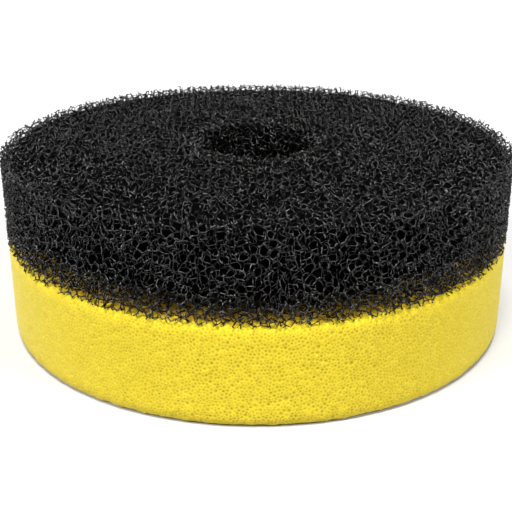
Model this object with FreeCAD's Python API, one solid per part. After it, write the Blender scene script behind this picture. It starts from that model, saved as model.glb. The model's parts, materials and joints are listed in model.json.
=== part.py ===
import FreeCAD, Part
import os

# Two layers of reticulated foam from a round pond filter, stacked as they stand in its drum:
# a fine disc below and a coarse disc on top, with one bore through both for the riser tube.
# Millimetres. +Z is up, the stack stands on Z = 0, and the bore runs along the Z axis.

disc_diameter = 250.0     # both layers are cut to fill the same drum
bore_diameter = 60.0      # the riser tube passes through both layers
fine_thickness = 48.0     # lower layer, about 45 pores per inch
coarse_thickness = 41.0   # upper layer, about 20 pores per inch
layer_gap = 0.0           # the coarse layer rests on the fine one, face to face
bore_overcut = 1.0        # the bore's cutter runs this far past both faces of a layer


def foam_disc(base_z, thickness):
    """A knife-cut ring of foam that stands on base_z."""
    blank = Part.makeCylinder(disc_diameter / 2, thickness, FreeCAD.Vector(0, 0, base_z))
    cutter_base = FreeCAD.Vector(0, 0, base_z - bore_overcut)
    cutter = Part.makeCylinder(bore_diameter / 2, thickness + 2 * bore_overcut, cutter_base)
    return blank.cut(cutter)


fine_sponge_disc = foam_disc(0.0, fine_thickness)
coarse_sponge_disc = foam_disc(fine_thickness + layer_gap, coarse_thickness)

os.makedirs("parts", exist_ok=True)
fine_sponge_disc.exportStep("parts/fine_sponge_disc.step")
coarse_sponge_disc.exportStep("parts/coarse_sponge_disc.step")
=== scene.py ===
import itertools
import json
import math

import bmesh
import bpy
import numpy as np
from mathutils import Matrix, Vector


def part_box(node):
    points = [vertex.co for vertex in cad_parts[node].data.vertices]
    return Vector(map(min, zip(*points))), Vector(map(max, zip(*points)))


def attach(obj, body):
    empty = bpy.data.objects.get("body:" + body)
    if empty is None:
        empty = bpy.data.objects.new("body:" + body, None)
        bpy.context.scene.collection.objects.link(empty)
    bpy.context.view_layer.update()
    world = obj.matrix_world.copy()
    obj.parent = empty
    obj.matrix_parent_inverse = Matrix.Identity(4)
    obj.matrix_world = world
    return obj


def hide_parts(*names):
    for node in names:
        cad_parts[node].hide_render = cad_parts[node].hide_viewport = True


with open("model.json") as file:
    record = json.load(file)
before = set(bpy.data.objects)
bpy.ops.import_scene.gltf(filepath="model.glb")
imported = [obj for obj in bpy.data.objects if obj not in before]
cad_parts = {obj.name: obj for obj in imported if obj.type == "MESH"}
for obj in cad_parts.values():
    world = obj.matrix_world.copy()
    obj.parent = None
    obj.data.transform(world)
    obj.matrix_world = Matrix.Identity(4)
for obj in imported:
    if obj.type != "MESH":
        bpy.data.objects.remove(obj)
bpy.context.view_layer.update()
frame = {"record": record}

# ---------------------------------------------------------------- sizes, in metres
MM = 0.001
coarse_low, coarse_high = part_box("coarse_sponge_disc")
fine_low, fine_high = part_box("fine_sponge_disc")
mounts = {mount["name"]: mount for mount in frame["record"]["mounts"]}
outer_radius = coarse_high.x
bore_radius = mounts["riser_bore"]["dims"]["r_mm"] * MM

coarse_block = 4.9 * MM      # side of the cubic block that holds two coarse cells
coarse_strut = 0.30 * MM     # from a strut's middle line to its corners
lattice_tilt = (0.35, 0.61, 0.27)       # radians, so that no row of cells lies along a cut face
wander = 4.4 * MM            # how strongly the coarse cells stray from their lattice
strays = ((16.0 * MM, 1.6), (3.2 * MM, 1.2))    # broad and narrow: (width, share of wander)
knob_width = 0.6 * MM        # the struts swell and thin over this length
knob_share = 2.2             # and this strongly, as a share of their radius
chance_width = 1.1 * MM      # struts this far apart are cut and thinned out by separate chances
foam_seed = 3.0              # of all the noises that shape the coarse foam
wall_skin = 5.0 * MM         # depth of the open struts behind the outer wall and the bore
top_skin = 2.4 * MM          # behind the upper face
under_skin = 1.5 * MM        # and behind the lower face
core_overlap = 0.4 * MM      # the struts run this far into the dark core behind them
ragged = 2.6 * MM            # how unevenly the knife cuts the struts of the flat faces
wall_ragged = 0.4            # and the wall and the bore, as a share of that
most_cut = 0.9               # a strut keeps at least a tenth of its length
hang = 1.2 * MM              # the lower face's stubs press this far into the fine foam
proud = 1.4 * MM             # the upper face's stand this far above the disc's nominal face
lip = 0.2 * MM               # and the outer wall's this far outside its nominal radius
cut_outer = outer_radius + lip
cut_low = coarse_low.z - hang
cut_high = coarse_high.z + proud
eave_width = 18.0 * MM       # along the lower rim the struts are open this much further in
eave_height = 11.0 * MM      # and this much further up
eave_share = 0.45            # struts are kept there where their chance, about 0.5, is less
wedge_count = 8              # the struts are made a wedge of the disc at a time
block_reach = 1.3            # nearly all of a block's struts are this near its middle, in blocks
strut_weld = 0.002 * MM      # corners of struts that meet are within this of each other

core_spacing = 2.2 * MM      # between the corners of the dark core's outline
core_steps = 300             # number of corners in each of its hoops
core_hollow = 1.6 * MM       # depth of a cell's hollow in the core

fine_pitch = 1.65 * MM       # from pore to pore, wider than the real 1.3 mm so that they show
row_share = 0.866            # from one row of pores to the next, as a share of the pitch
fine_scatter = 0.5           # how far a pore is moved at random, as a share of the pitch
evening_rounds = 6           # rounds that even the pores out again
fine_pit = 0.36              # depth of a fine pore, as a share of its width
fine_rim = 0.8 * MM          # rounding of the knife-cut rims
rim_stray = 0.05 * MM        # how far a corner between pores is moved at random
pit_stray = 0.2 * MM         # and the bottom of a pore
pit_weld = 0.01 * MM         # the corners of a pore's floor are shrunk to within this
fine_seed = 7                # of the pores' places, depths and shades


# ---------------------------------------------------------------- small tools
def linear(hex_colour):
    """An sRGB hex colour as linear red, green, blue and alpha."""
    parts = [int(hex_colour[i:i + 2], 16) / 255 for i in (1, 3, 5)]
    return [c / 12.92 if c <= 0.04045 else ((c + 0.055) / 1.055) ** 2.4 for c in parts] + [1.0]


def result(node):
    """The first output that a node has in use."""
    return next(socket for socket in node.outputs if socket.enabled)


def add(tree, kind, *values, **settings):
    """Adds a node with its settings. Its inputs take values, sockets or nodes, in order."""
    node = tree.nodes.new(kind)
    for name, setting in settings.items():
        setattr(node, name, setting)
    for socket, value in zip([s for s in node.inputs if s.enabled], values):
        if isinstance(value, bpy.types.Node):
            value = result(value)
        if isinstance(value, bpy.types.NodeSocket):
            tree.links.new(value, socket)
        elif value is not None:
            socket.default_value = value
    return node


def inputs_of(tree, sockets):
    """Gives a node tree its named inputs and one output, and returns the inputs by name."""
    for name, kind in sockets.items():
        tree.interface.new_socket(name, in_out="INPUT", socket_type="NodeSocket" + kind)
    tree.interface.new_socket("Geometry", in_out="OUTPUT", socket_type="NodeSocketGeometry")
    return tree.nodes.new("NodeGroupInput").outputs


def grown(name, tree, start, values):
    """The mesh that a geometry tree makes of a starting mesh, with its inputs set by name."""
    holder = bpy.data.objects.new(name, start)
    bpy.context.scene.collection.objects.link(holder)
    modifier = holder.modifiers.new(name, "NODES")
    modifier.node_group = tree
    for item in tree.interface.items_tree:
        if item.item_type == "SOCKET" and item.name in values:
            modifier[item.identifier] = values[item.name]
    depsgraph = bpy.context.evaluated_depsgraph_get()
    mesh = bpy.data.meshes.new_from_object(holder.evaluated_get(depsgraph))
    bpy.data.objects.remove(holder)
    mesh.name = name
    return mesh


def piece(name, data):
    """An object in the scene, made of a mesh, a light or a camera."""
    made = bpy.data.objects.new(name, data)
    bpy.context.scene.collection.objects.link(made)
    return made


# ---------------------------------------------------------------- the coarse foam's struts
def strut_block():
    """The 24 struts of one cubic block of foam, where eight cells' walls meet, a block wide.

    The cells are the truncated octahedra of a body-centred lattice. Each strut is a prism
    between three cells, and each of its points knows where it stands: position is the middle
    of its own end, along leads to the other end, and out points into the cell beside it."""
    corners = [np.array(c, float) for c in itertools.product(range(-1, 3), repeat=3)]
    cells = np.array(corners + [c + 0.5 for c in corners])
    turns = {p for s in itertools.product((0.25, -0.25), (0.5, -0.5))
             for p in itertools.permutations((0.0,) + s)}
    ends = np.unique(np.array([c + t for c in cells for t in turns]).round(6), axis=0)
    ends = ends[(np.abs(ends - 0.5) < 1.01).all(axis=1)]
    spans = np.linalg.norm(ends[:, None] - ends[None], axis=2)
    places, alongs, outs, faces = [], [], [], []
    for i, j in np.argwhere(np.triu(np.abs(spans - 0.125 ** 0.5) < 1e-3)):
        a, b = ends[i], ends[j]
        middle = (a + b) / 2
        if middle.min() < -1e-6 or middle.max() >= 1 - 1e-6:
            continue
        beside = cells[np.argsort(np.linalg.norm(cells - middle, axis=1))[:3]]
        if np.dot(np.cross(beside[1] - beside[0], beside[2] - beside[0]), b - a) < 0:
            beside = beside[::-1]
        first = len(places)
        for own, other in ((a, b), (b, a)):
            for cell in beside:
                places.append(own)
                alongs.append(other - own)
                outs.append((cell - own) / np.linalg.norm(cell - own))
        for left, right in ((0, 1), (1, 2), (2, 0)):
            faces.append([first + left, first + right, first + 3 + right, first + 3 + left])
    mesh = bpy.data.meshes.new("strut_block")
    mesh.from_pydata(places, [], faces)
    for name, vectors in (("along", alongs), ("out", outs)):
        attribute = mesh.attributes.new(name, "FLOAT_VECTOR", "POINT")
        attribute.data.foreach_set("vector", np.array(vectors, np.float32).ravel())
    return mesh


def knife_distance(tree, place, outer, bore, low, high):
    """How far a place stands outside a ring that is cut with square rims, less than 0 inside."""
    flat = add(tree, "ShaderNodeVectorMath", place, (1, 1, 0), operation="MULTIPLY")
    from_axis = add(tree, "ShaderNodeVectorMath", flat, operation="LENGTH").outputs["Value"]
    height = add(tree, "ShaderNodeSeparateXYZ", place).outputs["Z"]
    sides = ((from_axis, outer), (bore, from_axis), (height, high), (low, height))
    gaps = [add(tree, "ShaderNodeMath", *pair, operation="SUBTRACT") for pair in sides]
    distance = gaps[0]
    for gap in gaps[1:]:
        distance = add(tree, "ShaderNodeMath", distance, gap, operation="MAXIMUM")
    return distance


def strayed(tree, place, distance, seed):
    """A place moved at random, together with what is near it, as cells in foam differ."""
    for width, share in strays:
        noise = add(tree, "ShaderNodeTexNoise", place, seed, 1 / width, 1.0,
                    noise_dimensions="4D").outputs["Color"]
        push = add(tree, "ShaderNodeVectorMath", noise, (0.5, 0.5, 0.5), operation="SUBTRACT")
        reach = add(tree, "ShaderNodeMath", distance, share, operation="MULTIPLY")
        push = add(tree, "ShaderNodeVectorMath", push, reach, operation="SCALE")
        place = add(tree, "ShaderNodeVectorMath", place, push, operation="ADD")
    return place


def strut_tree():
    """Fills a wedge of a ring with open-cell foam, cut at the ring's faces and hollow inside."""
    tree = bpy.data.node_groups.new("open_cell_foam", "GeometryNodeTree")
    given = inputs_of(tree, {
        "Geometry": "Geometry", "Block": "Object", "Blocks Across": "Int", "Block Size": "Float",
        "Strut Radius": "Float", "Wander": "Float", "Seed": "Float", "Outer Radius": "Float",
        "Bore Radius": "Float", "Low": "Float", "High": "Float", "Wall Skin": "Float",
        "Top Skin": "Float", "Under Skin": "Float", "Eave Share": "Float",
        "Eave Width": "Float", "Eave Height": "Float", "First Side": "Vector",
        "Last Side": "Vector", "Ragged": "Float", "Material": "Material"})
    size = given["Block Size"]
    middle = add(tree, "ShaderNodeMath", given["Low"], given["High"], operation="ADD")
    middle = add(tree, "ShaderNodeMath", middle, 0.5, operation="MULTIPLY")
    middle = add(tree, "ShaderNodeCombineXYZ", 0.0, 0.0, middle)

    def in_ring(vector):
        """A vector given in blocks, in metres and turned as the lattice is."""
        scaled = add(tree, "ShaderNodeVectorMath", vector, size, operation="SCALE")
        return add(tree, "FunctionNodeRotateVector", scaled, lattice_tilt)

    def within_sides(place):
        """How far a place stands inside the wedge's two sides, less than 0 outside them."""
        first = add(tree, "ShaderNodeVectorMath", place, given["First Side"], operation="DOT_PRODUCT")
        last = add(tree, "ShaderNodeVectorMath", place, given["Last Side"], operation="DOT_PRODUCT")
        before = add(tree, "ShaderNodeMath", last.outputs["Value"], -1.0, operation="MULTIPLY")
        return add(tree, "ShaderNodeMath", first.outputs["Value"], before, operation="MINIMUM")

    behind_wall = given["Wall Skin"]
    skin_outer = add(tree, "ShaderNodeMath", given["Outer Radius"], behind_wall,
                     operation="SUBTRACT")
    skin_bore = add(tree, "ShaderNodeMath", given["Bore Radius"], behind_wall, operation="ADD")
    skin_low = add(tree, "ShaderNodeMath", given["Low"], given["Under Skin"], operation="ADD")
    skin_high = add(tree, "ShaderNodeMath", given["High"], given["Top Skin"], operation="SUBTRACT")

    def square_distance(place):
        """How far a place stands outside the core, as if its corners were all square."""
        return knife_distance(tree, place, skin_outer, skin_bore, skin_low, skin_high)

    def core_distance(place):
        """How far a place stands outside the core, whose lower outer corner is cut away."""
        square = square_distance(place)
        flat = add(tree, "ShaderNodeVectorMath", place, (1, 1, 0), operation="MULTIPLY")
        from_axis = add(tree, "ShaderNodeVectorMath", flat, operation="LENGTH").outputs["Value"]
        height = add(tree, "ShaderNodeSeparateXYZ", place).outputs["Z"]
        inward = add(tree, "ShaderNodeMath", skin_outer, from_axis, operation="SUBTRACT")
        inward = add(tree, "ShaderNodeMath", inward, given["Eave Width"], operation="DIVIDE")
        upward = add(tree, "ShaderNodeMath", height, skin_low, operation="SUBTRACT")
        upward = add(tree, "ShaderNodeMath", upward, given["Eave Height"], operation="DIVIDE")
        eave = add(tree, "ShaderNodeMath", inward, upward, operation="ADD")
        eave = add(tree, "ShaderNodeMath", 1.0, eave, operation="SUBTRACT")
        eave = add(tree, "ShaderNodeMath", eave, given["Eave Height"], operation="MULTIPLY")
        return add(tree, "ShaderNodeMath", square, eave, operation="MAXIMUM")

    # The lattice: one point for each block that reaches into the wedge's open struts.
    across = given["Blocks Across"]
    span = add(tree, "ShaderNodeMath", across, 1.0, operation="SUBTRACT")
    start = add(tree, "ShaderNodeMath", span, -0.5, operation="MULTIPLY")
    start = add(tree, "ShaderNodeCombineXYZ", 0.0, 0.0, start)
    layer = add(tree, "GeometryNodeMeshGrid", span, span, across, across).outputs["Mesh"]
    column = add(tree, "GeometryNodeMeshLine", across, start, (0, 0, 1),
                 mode="OFFSET", count_mode="TOTAL")
    lattice = add(tree, "GeometryNodeInstanceOnPoints", column, None, layer)
    lattice = add(tree, "GeometryNodeRealizeInstances", lattice)
    lattice = add(tree, "GeometryNodeMeshToPoints", lattice)
    corner = add(tree, "GeometryNodeInputPosition")
    centre = add(tree, "ShaderNodeVectorMath", corner, (0.5, 0.5, 0.5), operation="ADD")
    centre = add(tree, "ShaderNodeVectorMath", in_ring(centre), middle, operation="ADD")
    outside = knife_distance(tree, centre, given["Outer Radius"], given["Bore Radius"],
                             given["Low"], given["High"])
    shut = add(tree, "ShaderNodeMath", core_distance(centre), -1.0, operation="MULTIPLY")
    aside = add(tree, "ShaderNodeMath", within_sides(centre), -1.0, operation="MULTIPLY")
    far = add(tree, "ShaderNodeMath", outside, shut, operation="MAXIMUM")
    far = add(tree, "ShaderNodeMath", far, aside, operation="MAXIMUM")
    margin = add(tree, "ShaderNodeMath", size, block_reach, operation="MULTIPLY")
    out_of_reach = add(tree, "ShaderNodeMath", far, margin, operation="GREATER_THAN")
    lattice = add(tree, "GeometryNodeDeleteGeometry", lattice, out_of_reach, domain="POINT")

    block = add(tree, "GeometryNodeObjectInfo", given["Block"]).outputs["Geometry"]
    struts = add(tree, "GeometryNodeInstanceOnPoints", lattice, None, block)
    struts = add(tree, "GeometryNodeRealizeInstances", struts)

    # Where each strut's own end and other end are, once the cells have strayed.
    along = add(tree, "GeometryNodeInputNamedAttribute", "along", data_type="FLOAT_VECTOR")
    out = add(tree, "GeometryNodeInputNamedAttribute", "out", data_type="FLOAT_VECTOR")
    own = add(tree, "ShaderNodeVectorMath", in_ring(corner), middle, operation="ADD")
    other = add(tree, "ShaderNodeVectorMath", own, in_ring(along), operation="ADD")
    own = strayed(tree, own, given["Wander"], given["Seed"])
    other = strayed(tree, other, given["Wander"], given["Seed"])
    half = add(tree, "ShaderNodeVectorMath", own, other, operation="ADD")
    half = add(tree, "ShaderNodeVectorMath", half, 0.5, operation="SCALE")

    # The knife: a strut that crosses a face ends there, a little off it here and there.
    chance = add(tree, "ShaderNodeTexNoise", half, given["Seed"], 1 / chance_width, 0.0,
                 noise_dimensions="4D").outputs[0]
    uneven = add(tree, "ShaderNodeMath", chance, 0.5, operation="SUBTRACT")
    uneven = add(tree, "ShaderNodeMath", uneven, given["Ragged"], operation="MULTIPLY")
    slight = add(tree, "ShaderNodeMath", uneven, wall_ragged, operation="MULTIPLY")
    cuts = [add(tree, "ShaderNodeMath", *pair[:2], operation=pair[2]) for pair in (
        (given["Outer Radius"], slight, "SUBTRACT"), (given["Bore Radius"], slight, "ADD"),
        (given["Low"], uneven, "ADD"), (given["High"], uneven, "SUBTRACT"))]
    past = [knife_distance(tree, end, *cuts) for end in (own, other)]
    both = add(tree, "ShaderNodeMath", past[0], past[1], operation="MINIMUM")
    cut_off = add(tree, "ShaderNodeMath", both, 0.0, operation="GREATER_THAN")
    # None are needed in the core, and only a share of them under the eave.
    hidden = add(tree, "ShaderNodeMath", core_distance(half), -core_overlap,
                 operation="LESS_THAN")
    sparse = add(tree, "ShaderNodeMath", square_distance(half), 0.0, operation="LESS_THAN")
    thinned = add(tree, "ShaderNodeMath", chance, given["Eave Share"], operation="GREATER_THAN")
    sparse = add(tree, "ShaderNodeMath", sparse, thinned, operation="MULTIPLY")
    hidden = add(tree, "ShaderNodeMath", hidden, sparse, operation="MAXIMUM")
    elsewhere = add(tree, "ShaderNodeMath", within_sides(half), 0.0, operation="LESS_THAN")
    gone = add(tree, "ShaderNodeMath", cut_off, hidden, operation="MAXIMUM")
    gone = add(tree, "ShaderNodeMath", gone, elsewhere, operation="MAXIMUM")
    struts = add(tree, "GeometryNodeDeleteGeometry", struts, gone, domain="POINT")

    # A strut with one end past a face is cut there, and each corner goes to its own place.
    crossing = add(tree, "ShaderNodeMath", past[1], operation="ABSOLUTE")
    crossing = add(tree, "ShaderNodeMath", past[0], crossing, operation="ADD")
    share = add(tree, "ShaderNodeMath", past[0], crossing, operation="DIVIDE")
    outer_end = add(tree, "ShaderNodeMath", past[0], 0.0, operation="GREATER_THAN")
    share = add(tree, "ShaderNodeMath", share, outer_end, operation="MULTIPLY")
    share = add(tree, "ShaderNodeMath", share, most_cut, operation="MINIMUM")
    step = add(tree, "ShaderNodeVectorMath", other, own, operation="SUBTRACT")
    step = add(tree, "ShaderNodeVectorMath", step, share, operation="SCALE")
    end = add(tree, "ShaderNodeVectorMath", own, step, operation="ADD")
    out = add(tree, "FunctionNodeRotateVector", out, lattice_tilt)
    reach = add(tree, "ShaderNodeVectorMath", out, given["Strut Radius"], operation="SCALE")
    place = add(tree, "ShaderNodeVectorMath", end, reach, operation="ADD")
    knobbly = add(tree, "ShaderNodeTexNoise", place, given["Seed"], 1 / knob_width, 0.0,
                  noise_dimensions="4D").outputs["Color"]
    knobbly = add(tree, "ShaderNodeVectorMath", knobbly, (0.5, 0.5, 0.5), operation="SUBTRACT")
    knobbly = add(tree, "ShaderNodeVectorMath", knobbly, given["Strut Radius"], operation="SCALE")
    knobbly = add(tree, "ShaderNodeVectorMath", knobbly, knob_share, operation="SCALE")
    place = add(tree, "ShaderNodeVectorMath", place, knobbly, operation="ADD")
    struts = add(tree, "GeometryNodeSetPosition", struts, None, place)
    struts = add(tree, "GeometryNodeMergeByDistance", struts, None, strut_weld)
    struts = add(tree, "GeometryNodeRealizeInstances", struts)
    struts = add(tree, "GeometryNodeSetMaterial", struts, None, given["Material"])
    add(tree, "NodeGroupOutput", struts)
    return tree


def closed(name, mesh, material):
    """The mesh with each open end of a strut, a hole of three to five corners, capped."""
    corners = np.empty(len(mesh.loops), int)
    mesh.loops.foreach_get("vertex_index", corners)
    sides = np.empty(len(mesh.polygons), int)
    mesh.polygons.foreach_get("loop_total", sides)
    starts = np.cumsum(sides) - sides
    following = np.arange(len(corners)) + 1
    following[starts + sides - 1] = starts
    tails, heads = corners, corners[following]
    count = len(mesh.vertices)
    caps = []
    for _ in range(3):          # holes that meet at a corner are found one after another
        edges = tails * count + heads
        open_edge = ~np.isin(edges, heads * count + tails)
        onward = np.full(count, -1)
        onward[heads[open_edge]] = tails[open_edge]
        path = [np.flatnonzero(onward >= 0)]
        for _ in range(5):
            path.append(onward[path[-1]])
        three, four, five = (np.stack(path[:n])[:, (path[n] == path[0])
                                                & (path[0] == np.min(path[:n], axis=0))]
                             for n in (3, 4, 5))
        a, b, c, d = four
        joined = np.isin(a * count + c, edges) | np.isin(c * count + a, edges)
        found = np.hstack([three, np.where(joined, [a, b, d], [a, b, c]),
                           np.where(joined, [b, c, d], [a, c, d]),
                           five[[0, 1, 2]], five[[0, 2, 3]], five[[0, 3, 4]]]).T
        caps += found.tolist()
        tails = np.concatenate([tails, found.ravel()])
        heads = np.concatenate([heads, np.roll(found, -1, axis=1).ravel()])
    used = np.unique(corners)
    renumbered = np.full(count, -1)
    renumbered[used] = np.arange(len(used))
    places = np.empty(count * 3, np.float32)
    mesh.vertices.foreach_get("co", places)
    faces = [renumbered[face].tolist() for face in np.split(corners, starts[1:])]
    faces += renumbered[np.array(caps)].tolist()
    made = bpy.data.meshes.new(name)
    made.from_pydata(places.reshape(-1, 3)[used], [], faces)
    made.materials.append(material)
    bpy.data.meshes.remove(mesh)
    return made


def coarse_struts(material):
    """The coarse disc's open struts, a wedge of the disc in each piece."""
    tree = strut_tree()
    block = piece("strut_block", strut_block())
    made = []
    for i in range(wedge_count):
        first, last = (2 * math.pi * k / wedge_count for k in (i, (i + 1) % wedge_count))
        mesh = grown("open_struts", tree, bpy.data.meshes.new("empty"), {
            "Block": block, "Blocks Across": math.ceil(2.1 * outer_radius / coarse_block),
            "Block Size": coarse_block, "Strut Radius": coarse_strut, "Wander": wander,
            "Seed": foam_seed, "Outer Radius": cut_outer, "Bore Radius": bore_radius,
            "Low": cut_low, "High": cut_high, "Wall Skin": wall_skin,
            "Top Skin": top_skin, "Under Skin": under_skin, "Eave Share": eave_share,
            "Eave Width": eave_width, "Eave Height": eave_height,
            "First Side": (-math.sin(first), math.cos(first), 0.0),
            "Last Side": (-math.sin(last), math.cos(last), 0.0),
            "Ragged": ragged, "Material": material})
        mesh = closed(f"coarse_foam_{i + 1}", mesh, material)
        mesh.shade_smooth()
        made.append(piece(mesh.name, mesh))
    bpy.data.objects.remove(block)
    return made


# ---------------------------------------------------------------- rings turned from an outline
def stops_along(path, spacing):
    """Evenly spaced points along a closed path of (radius, height) corners."""
    path = np.array(list(path) + [path[0]])
    travelled = np.concatenate([[0], np.cumsum(np.linalg.norm(np.diff(path, axis=0), axis=1))])
    count = round(travelled[-1] / spacing)
    stops = np.arange(count) * travelled[-1] / count
    return [(np.interp(s, travelled, path[:, 0]), np.interp(s, travelled, path[:, 1])) for s in stops]


def turned(name, outline, steps):
    """A closed ring, turned from an outline of (radius, height) points."""
    count = len(outline)
    angles = [2 * math.pi * i / steps for i in range(steps)]
    points = [(r * math.cos(a), r * math.sin(a), z) for a in angles for r, z in outline]
    faces = [(i * count + j, ((i + 1) % steps) * count + j,
              ((i + 1) % steps) * count + (j + 1) % count, i * count + (j + 1) % count)
             for i in range(steps) for j in range(count)]
    mesh = bpy.data.meshes.new(name)
    mesh.from_pydata(points, [], faces)
    return mesh


def hollow_tree():
    """Presses a hollow into a surface for each foam cell that meets it."""
    tree = bpy.data.node_groups.new("cell_hollows", "GeometryNodeTree")
    given = inputs_of(tree, {"Geometry": "Geometry", "Cell Size": "Float", "Depth": "Float",
                             "Material": "Material"})
    place = add(tree, "GeometryNodeInputPosition")
    scale = add(tree, "ShaderNodeMath", 1.0, given["Cell Size"], operation="DIVIDE")
    # Deepest within 0.1 of a cell from its middle, and level with the surface past 0.6.
    cells = add(tree, "ShaderNodeTexVoronoi", place, scale).outputs["Distance"]
    hollow = add(tree, "ShaderNodeMapRange", cells, 0.1, 0.6, -1.0, 0.0,
                 interpolation_type="SMOOTHSTEP").outputs[0]
    depth = add(tree, "ShaderNodeMath", hollow, given["Depth"], operation="MULTIPLY")
    push = add(tree, "ShaderNodeVectorMath", add(tree, "GeometryNodeInputNormal"), depth,
               operation="SCALE")
    pressed = add(tree, "GeometryNodeSetPosition", given["Geometry"], None, None, push)
    pressed = add(tree, "GeometryNodeRealizeInstances", pressed)
    pressed = add(tree, "GeometryNodeSetMaterial", pressed, None, given["Material"])
    add(tree, "NodeGroupOutput", pressed)
    return tree


def coarse_core(material):
    """The dark middle of the coarse disc, where the struts are too deep to see singly: a matt black
    shell of painted shade that stands in for them.
    """
    inner, outer = bore_radius + wall_skin, cut_outer - wall_skin
    low, high = cut_low + under_skin, cut_high - top_skin
    outline = stops_along([(inner, low), (outer - eave_width, low), (outer, low + eave_height),
                           (outer, high), (inner, high)], core_spacing)
    mesh = grown("coarse_foam_core", hollow_tree(), turned("core_blank", outline, core_steps), {
        "Cell Size": coarse_block, "Depth": core_hollow, "Material": material})
    mesh.shade_smooth()
    return piece("coarse_foam_core", mesh)


# ---------------------------------------------------------------- the fine foam's pores
def fine_outline(spacing):
    """Evenly spaced (radius, height) points round the fine ring's cut, its rims rounded off."""
    corners = ((bore_radius, fine_low.z, 180), (outer_radius, fine_low.z, 270),
               (outer_radius, fine_high.z, 0), (bore_radius, fine_high.z, 90))
    centre = ((bore_radius + outer_radius) / 2, (fine_low.z + fine_high.z) / 2)
    path = []
    for radius, height, start in corners:
        r = radius + math.copysign(fine_rim, centre[0] - radius)
        z = height + math.copysign(fine_rim, centre[1] - height)
        for turn in range(0, 91, 15):
            angle = math.radians(start + turn)
            path.append((r + fine_rim * math.cos(angle), z + fine_rim * math.sin(angle)))
    return stops_along(path, spacing)


def fine_blank():
    """The fine disc's skin as near-equal triangles, one corner for each pore."""
    places, faces, hoops = [], [], []
    for row, (radius, height) in enumerate(fine_outline(fine_pitch * row_share)):
        count = round(2 * math.pi * radius / fine_pitch)
        angles = (np.arange(count) + 0.5 * (row % 2)) * 2 * math.pi / count
        hoops.append((len(places), count, 0.5 * (row % 2)))
        places += [(radius * math.cos(a), radius * math.sin(a), height) for a in angles]
    for (first, count, shift), (above, more, slip) in zip(hoops, hoops[1:] + hoops[:1]):
        i = j = 0
        while i < count or j < more:
            here, there = first + i % count, above + j % more
            if j == more or (i < count and (i + 1 + shift) / count <= (j + 1 + slip) / more):
                faces.append((here, first + (i + 1) % count, there))
                i += 1
            else:
                faces.append((here, above + (j + 1) % more, there))
                j += 1
    mesh = bpy.data.meshes.new("fine_blank")
    mesh.from_pydata(places, [], faces)
    return mesh


def scattered(mesh, reach):
    """Moves a skin's corners about within it, then evens them out, so that no row is left."""
    skin = bmesh.new()
    skin.from_mesh(mesh)
    skin.normal_update()
    pushes = np.random.default_rng(fine_seed).uniform(-reach, reach, (len(skin.verts), 3))
    for corner, push in zip(skin.verts, pushes):
        push = Vector(push)
        corner.co += push - corner.normal * corner.normal.dot(push)
    for _ in range(evening_rounds):
        bmesh.ops.beautify_fill(skin, faces=skin.faces, edges=skin.edges, method="ANGLE")
        for _ in range(2):
            bmesh.ops.smooth_vert(skin, verts=skin.verts, factor=0.5, use_axis_x=True,
                                  use_axis_y=True, use_axis_z=True)
    bmesh.ops.beautify_fill(skin, faces=skin.faces, edges=skin.edges, method="ANGLE")
    skin.to_mesh(mesh)
    skin.free()
    return mesh


def pore_tree():
    """Turns each corner of a closed skin into a pore: a many-sided pit with its rim on the skin."""
    tree = bpy.data.node_groups.new("fine_foam_pores", "GeometryNodeTree")
    given = inputs_of(tree, {"Geometry": "Geometry", "Depth Share": "Float", "Seed": "Int",
                             "Material": "Material"})
    skin = add(tree, "GeometryNodeDualMesh", given["Geometry"])
    width = add(tree, "ShaderNodeMath", add(tree, "GeometryNodeInputMeshFaceArea"), 0.5,
                operation="POWER")
    depth = add(tree, "ShaderNodeMath", width, given["Depth Share"], operation="MULTIPLY")
    # A pore's depth differs by a tenth either way, and the painted shade on its floor by as much as
    # 0.15.
    deep = add(tree, "ShaderNodeMath", depth, -1.1, operation="MULTIPLY")
    shallow = add(tree, "ShaderNodeMath", depth, -0.9, operation="MULTIPLY")
    depth = add(tree, "FunctionNodeRandomValue", deep, shallow, None, given["Seed"],
                data_type="FLOAT")
    pits = add(tree, "GeometryNodeExtrudeMesh", skin, None, None, depth, True, mode="FACES")
    floor = pits.outputs["Top"]
    shrunk = add(tree, "GeometryNodeScaleElements", pits.outputs["Mesh"], floor, 0.0)
    # Each pit's floor is marked with an amount of painted shade, and its rim with none.
    shade = add(tree, "FunctionNodeRandomValue", 0.85, 1.0, None, given["Seed"], data_type="FLOAT")
    shade = add(tree, "ShaderNodeMath", shade, floor, operation="MULTIPLY")
    marked = add(tree, "GeometryNodeStoreNamedAttribute", shrunk, None, "pore", shade,
                 data_type="FLOAT", domain="POINT")
    pores = add(tree, "GeometryNodeMergeByDistance", marked, None, pit_weld)
    pore = add(tree, "GeometryNodeInputNamedAttribute", "pore", data_type="FLOAT")
    pit = add(tree, "ShaderNodeMath", pore, 0.0, operation="GREATER_THAN")
    reach = add(tree, "ShaderNodeMapRange", pit, 0.0, 1.0, rim_stray, pit_stray)
    nudge = add(tree, "FunctionNodeRandomValue", (-1, -1, -1), (1, 1, 1), None, given["Seed"],
                data_type="FLOAT_VECTOR")
    nudge = add(tree, "ShaderNodeVectorMath", nudge, reach, operation="SCALE")
    pores = add(tree, "GeometryNodeSetPosition", pores, None, None, nudge)
    pores = add(tree, "GeometryNodeRealizeInstances", pores)
    pores = add(tree, "GeometryNodeSetMaterial", pores, None, given["Material"])
    add(tree, "NodeGroupOutput", pores)
    return tree


def fine_foam(material):
    """The fine disc: one closed skin with a pit for each pore."""
    blank = scattered(fine_blank(), fine_scatter * fine_pitch)
    mesh = grown("fine_foam", pore_tree(), blank, {
        "Depth Share": fine_pit, "Seed": fine_seed, "Material": material})
    mesh.shade_smooth()
    return piece("fine_foam", mesh)


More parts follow.
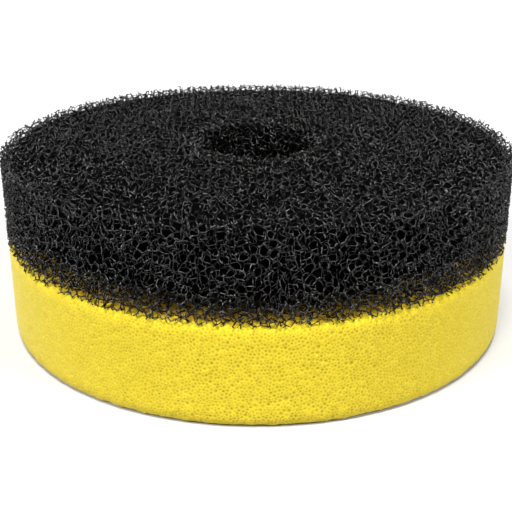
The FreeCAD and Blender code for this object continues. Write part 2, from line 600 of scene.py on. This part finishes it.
# ---------------------------------------------------------------- materials
def foam_material(name, shades, patch, rough, bump, gloss):
    """A foam's finish: two shades in soft patches, and grain that varies its gloss and height.

    Shades and rough are the two ends of a range. Patch is a patch's width, bump is the grain's
    width and height, and all three are in metres. Gloss is the specular level."""
    material = bpy.data.materials.new(name)
    material.use_nodes = True
    tree = material.node_tree
    shader = tree.nodes["Principled BSDF"]
    place = add(tree, "ShaderNodeTexCoord").outputs["Object"]
    patches = add(tree, "ShaderNodeTexNoise", place, 1 / patch, 2.0).outputs[0]
    patches = add(tree, "ShaderNodeMapRange", patches, 0.35, 0.65).outputs[0]
    colour = add(tree, "ShaderNodeMix", patches, linear(shades[0]), linear(shades[1]),
                 data_type="RGBA")
    tree.links.new(result(colour), shader.inputs["Base Color"])
    grain = add(tree, "ShaderNodeTexNoise", place, 1 / bump[0], 1.0).outputs[0]
    roughness = add(tree, "ShaderNodeMapRange", grain, 0.3, 0.7, rough[0], rough[1]).outputs[0]
    tree.links.new(roughness, shader.inputs["Roughness"])
    raised = add(tree, "ShaderNodeBump")
    raised.inputs["Distance"].default_value = bump[1]
    tree.links.new(grain, raised.inputs["Height"])
    tree.links.new(raised.outputs["Normal"], shader.inputs["Normal"])
    shader.inputs["Specular IOR Level"].default_value = gloss
    return material


# Reticulated polyurethane ether foam, dyed black. Its cell walls are burnt away by a flash of gas,
# and that melts the struts' skin: the eye gets thin bright glints on black lines.
black = foam_material("black_reticulated_foam", shades=("#020202", "#060506"), patch=9.0 * MM,
                      rough=(0.12, 0.24), bump=(0.7 * MM, 0.07 * MM), gloss=0.57)

# Painted shade: a matt, nearly black stand-in for the same foam deep inside, where it lies in shade;
# no glint comes back from it.
dark = foam_material("black_foam_shade", shades=("#000000", "#020202"), patch=4.0 * MM,
                     rough=(0.8, 1.0), bump=(2.0 * MM, 0.1 * MM), gloss=0.02)


def yellow_foam():
    """Fine polyurethane ester foam, dyed yellow and knife-cut.

    Light sinks into its small open cells and comes back out, so it looks matt, soft and bright. Each
    pore's floor is painted a deeper yellow, which is painted shade, and the upper face against the
    black foam is painted a more golden yellow, the painted shade and bounced light under that foam."""
    material = foam_material("yellow_fine_foam", shades=("#CCBA27", "#CEBE2C"), patch=7.0 * MM,
                             rough=(0.72, 0.9), bump=(0.5 * MM, 0.03 * MM), gloss=0.2)
    tree = material.node_tree
    shader = tree.nodes["Principled BSDF"]
    side = shader.inputs["Base Color"].links[0].from_socket
    # Painted shade: the top 0.9 mm of the disc, its upper face and the wall's top edge, fades to a
    # golden yellow, the amber shade and bounced light under the black foam.
    height = add(tree, "ShaderNodeSeparateXYZ", add(tree, "ShaderNodeTexCoord").outputs["Object"])
    upper = add(tree, "ShaderNodeMapRange", height.outputs["Z"], fine_high.z - 0.9 * MM,
                fine_high.z - 0.1 * MM).outputs[0]
    skin = add(tree, "ShaderNodeMix", upper, side, linear("#EAB40E"), data_type="RGBA")
    # Painted shade: each pore's floor is coloured a darker yellow, as the shade deep in a pit would
    # make it.
    pore = add(tree, "ShaderNodeAttribute", attribute_name="pore").outputs["Fac"]
    pore = add(tree, "ShaderNodeMath", pore, 0.6, operation="POWER")
    colour = add(tree, "ShaderNodeMix", pore, skin, linear("#BEA30C"), data_type="RGBA")
    tree.links.new(result(colour), shader.inputs["Base Color"])
    shader.inputs["Sheen Weight"].default_value = 0.14
    shader.inputs["Sheen Roughness"].default_value = 0.5
    return material


# ---------------------------------------------------------------- the pieces and what they ride on
coarse_pieces = coarse_struts(black) + [coarse_core(dark)]
for part in coarse_pieces:
    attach(part, "coarse_disc")
    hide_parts("coarse_sponge_disc")

fine = fine_foam(yellow_foam())
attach(fine, "fine_disc")
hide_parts("fine_sponge_disc")

# ---------------------------------------------------------------- stage
floor_reach = 6.0
floor_corners = [(-floor_reach, -floor_reach, 0), (floor_reach, -floor_reach, 0),
                 (floor_reach, floor_reach, 0), (-floor_reach, floor_reach, 0)]
floor_mesh = bpy.data.meshes.new("floor")
floor_mesh.from_pydata(floor_corners, [], [(0, 1, 2, 3)])
floor = piece("floor", floor_mesh)

# Matt paint, rolled on: it has no gloss, so that only soft shadows show on it.
pale = bpy.data.materials.new("pale_floor")
pale.use_nodes = True
paint = pale.node_tree.nodes["Principled BSDF"].inputs
paint["Base Color"].default_value = linear("#B6B6B6")
paint["Roughness"].default_value = 1.0
paint["Specular IOR Level"].default_value = 0.0
floor.data.materials.append(pale)

# The studio is white where it is looked at, and dim where it is reflected.
reflected, looked_at = 0.05, 1.0
scene = bpy.context.scene
scene.view_settings.view_transform = "Standard"
world = bpy.data.worlds.new("studio")
scene.world = world
world.use_nodes = True
tree = world.node_tree
seen = add(tree, "ShaderNodeLightPath").outputs["Is Camera Ray"]
brightness = add(tree, "ShaderNodeMapRange", seen, 0.0, 1.0, reflected, looked_at)
tree.links.new(result(brightness), tree.nodes["Background"].inputs["Strength"])
tree.nodes["Background"].inputs["Color"].default_value = (1, 1, 1, 1)


def softbox(name, azimuth, elevation, spread, strength):
    """A far lamp, placed by its angles in degrees: 0, 0 is level, on the camera's side."""
    light = bpy.data.lights.new(name, "SUN")
    light.energy = strength
    light.angle = math.radians(spread)
    holder = piece(name, light)
    a, e = math.radians(azimuth), math.radians(elevation)
    towards = Vector((math.sin(a) * math.cos(e), -math.cos(a) * math.cos(e), math.sin(e)))
    holder.rotation_euler = towards.to_track_quat("Z", "Y").to_euler()


softbox("key", azimuth=-58, elevation=38, spread=18, strength=2.8)
softbox("fill", azimuth=62, elevation=34, spread=18, strength=2.4)
softbox("back", azimuth=165, elevation=48, spread=20, strength=0.4)
softbox("top", azimuth=-10, elevation=74, spread=18, strength=4.5)

camera_distance = 4.0 * outer_radius
camera_elevation = math.radians(20.1)
camera_drop = math.radians(2.28)        # it looks this much below the two discs' joint
camera_data = bpy.data.cameras.new("camera")
camera_data.sensor_width = 36
camera_data.lens = 68.0
camera = piece("camera", camera_data)
camera.location = (-0.5 * MM, -camera_distance * math.cos(camera_elevation),
                   coarse_low.z + camera_distance * math.sin(camera_elevation))
camera.rotation_euler = (math.pi / 2 - (camera_elevation + camera_drop), 0, 0)
scene.camera = camera
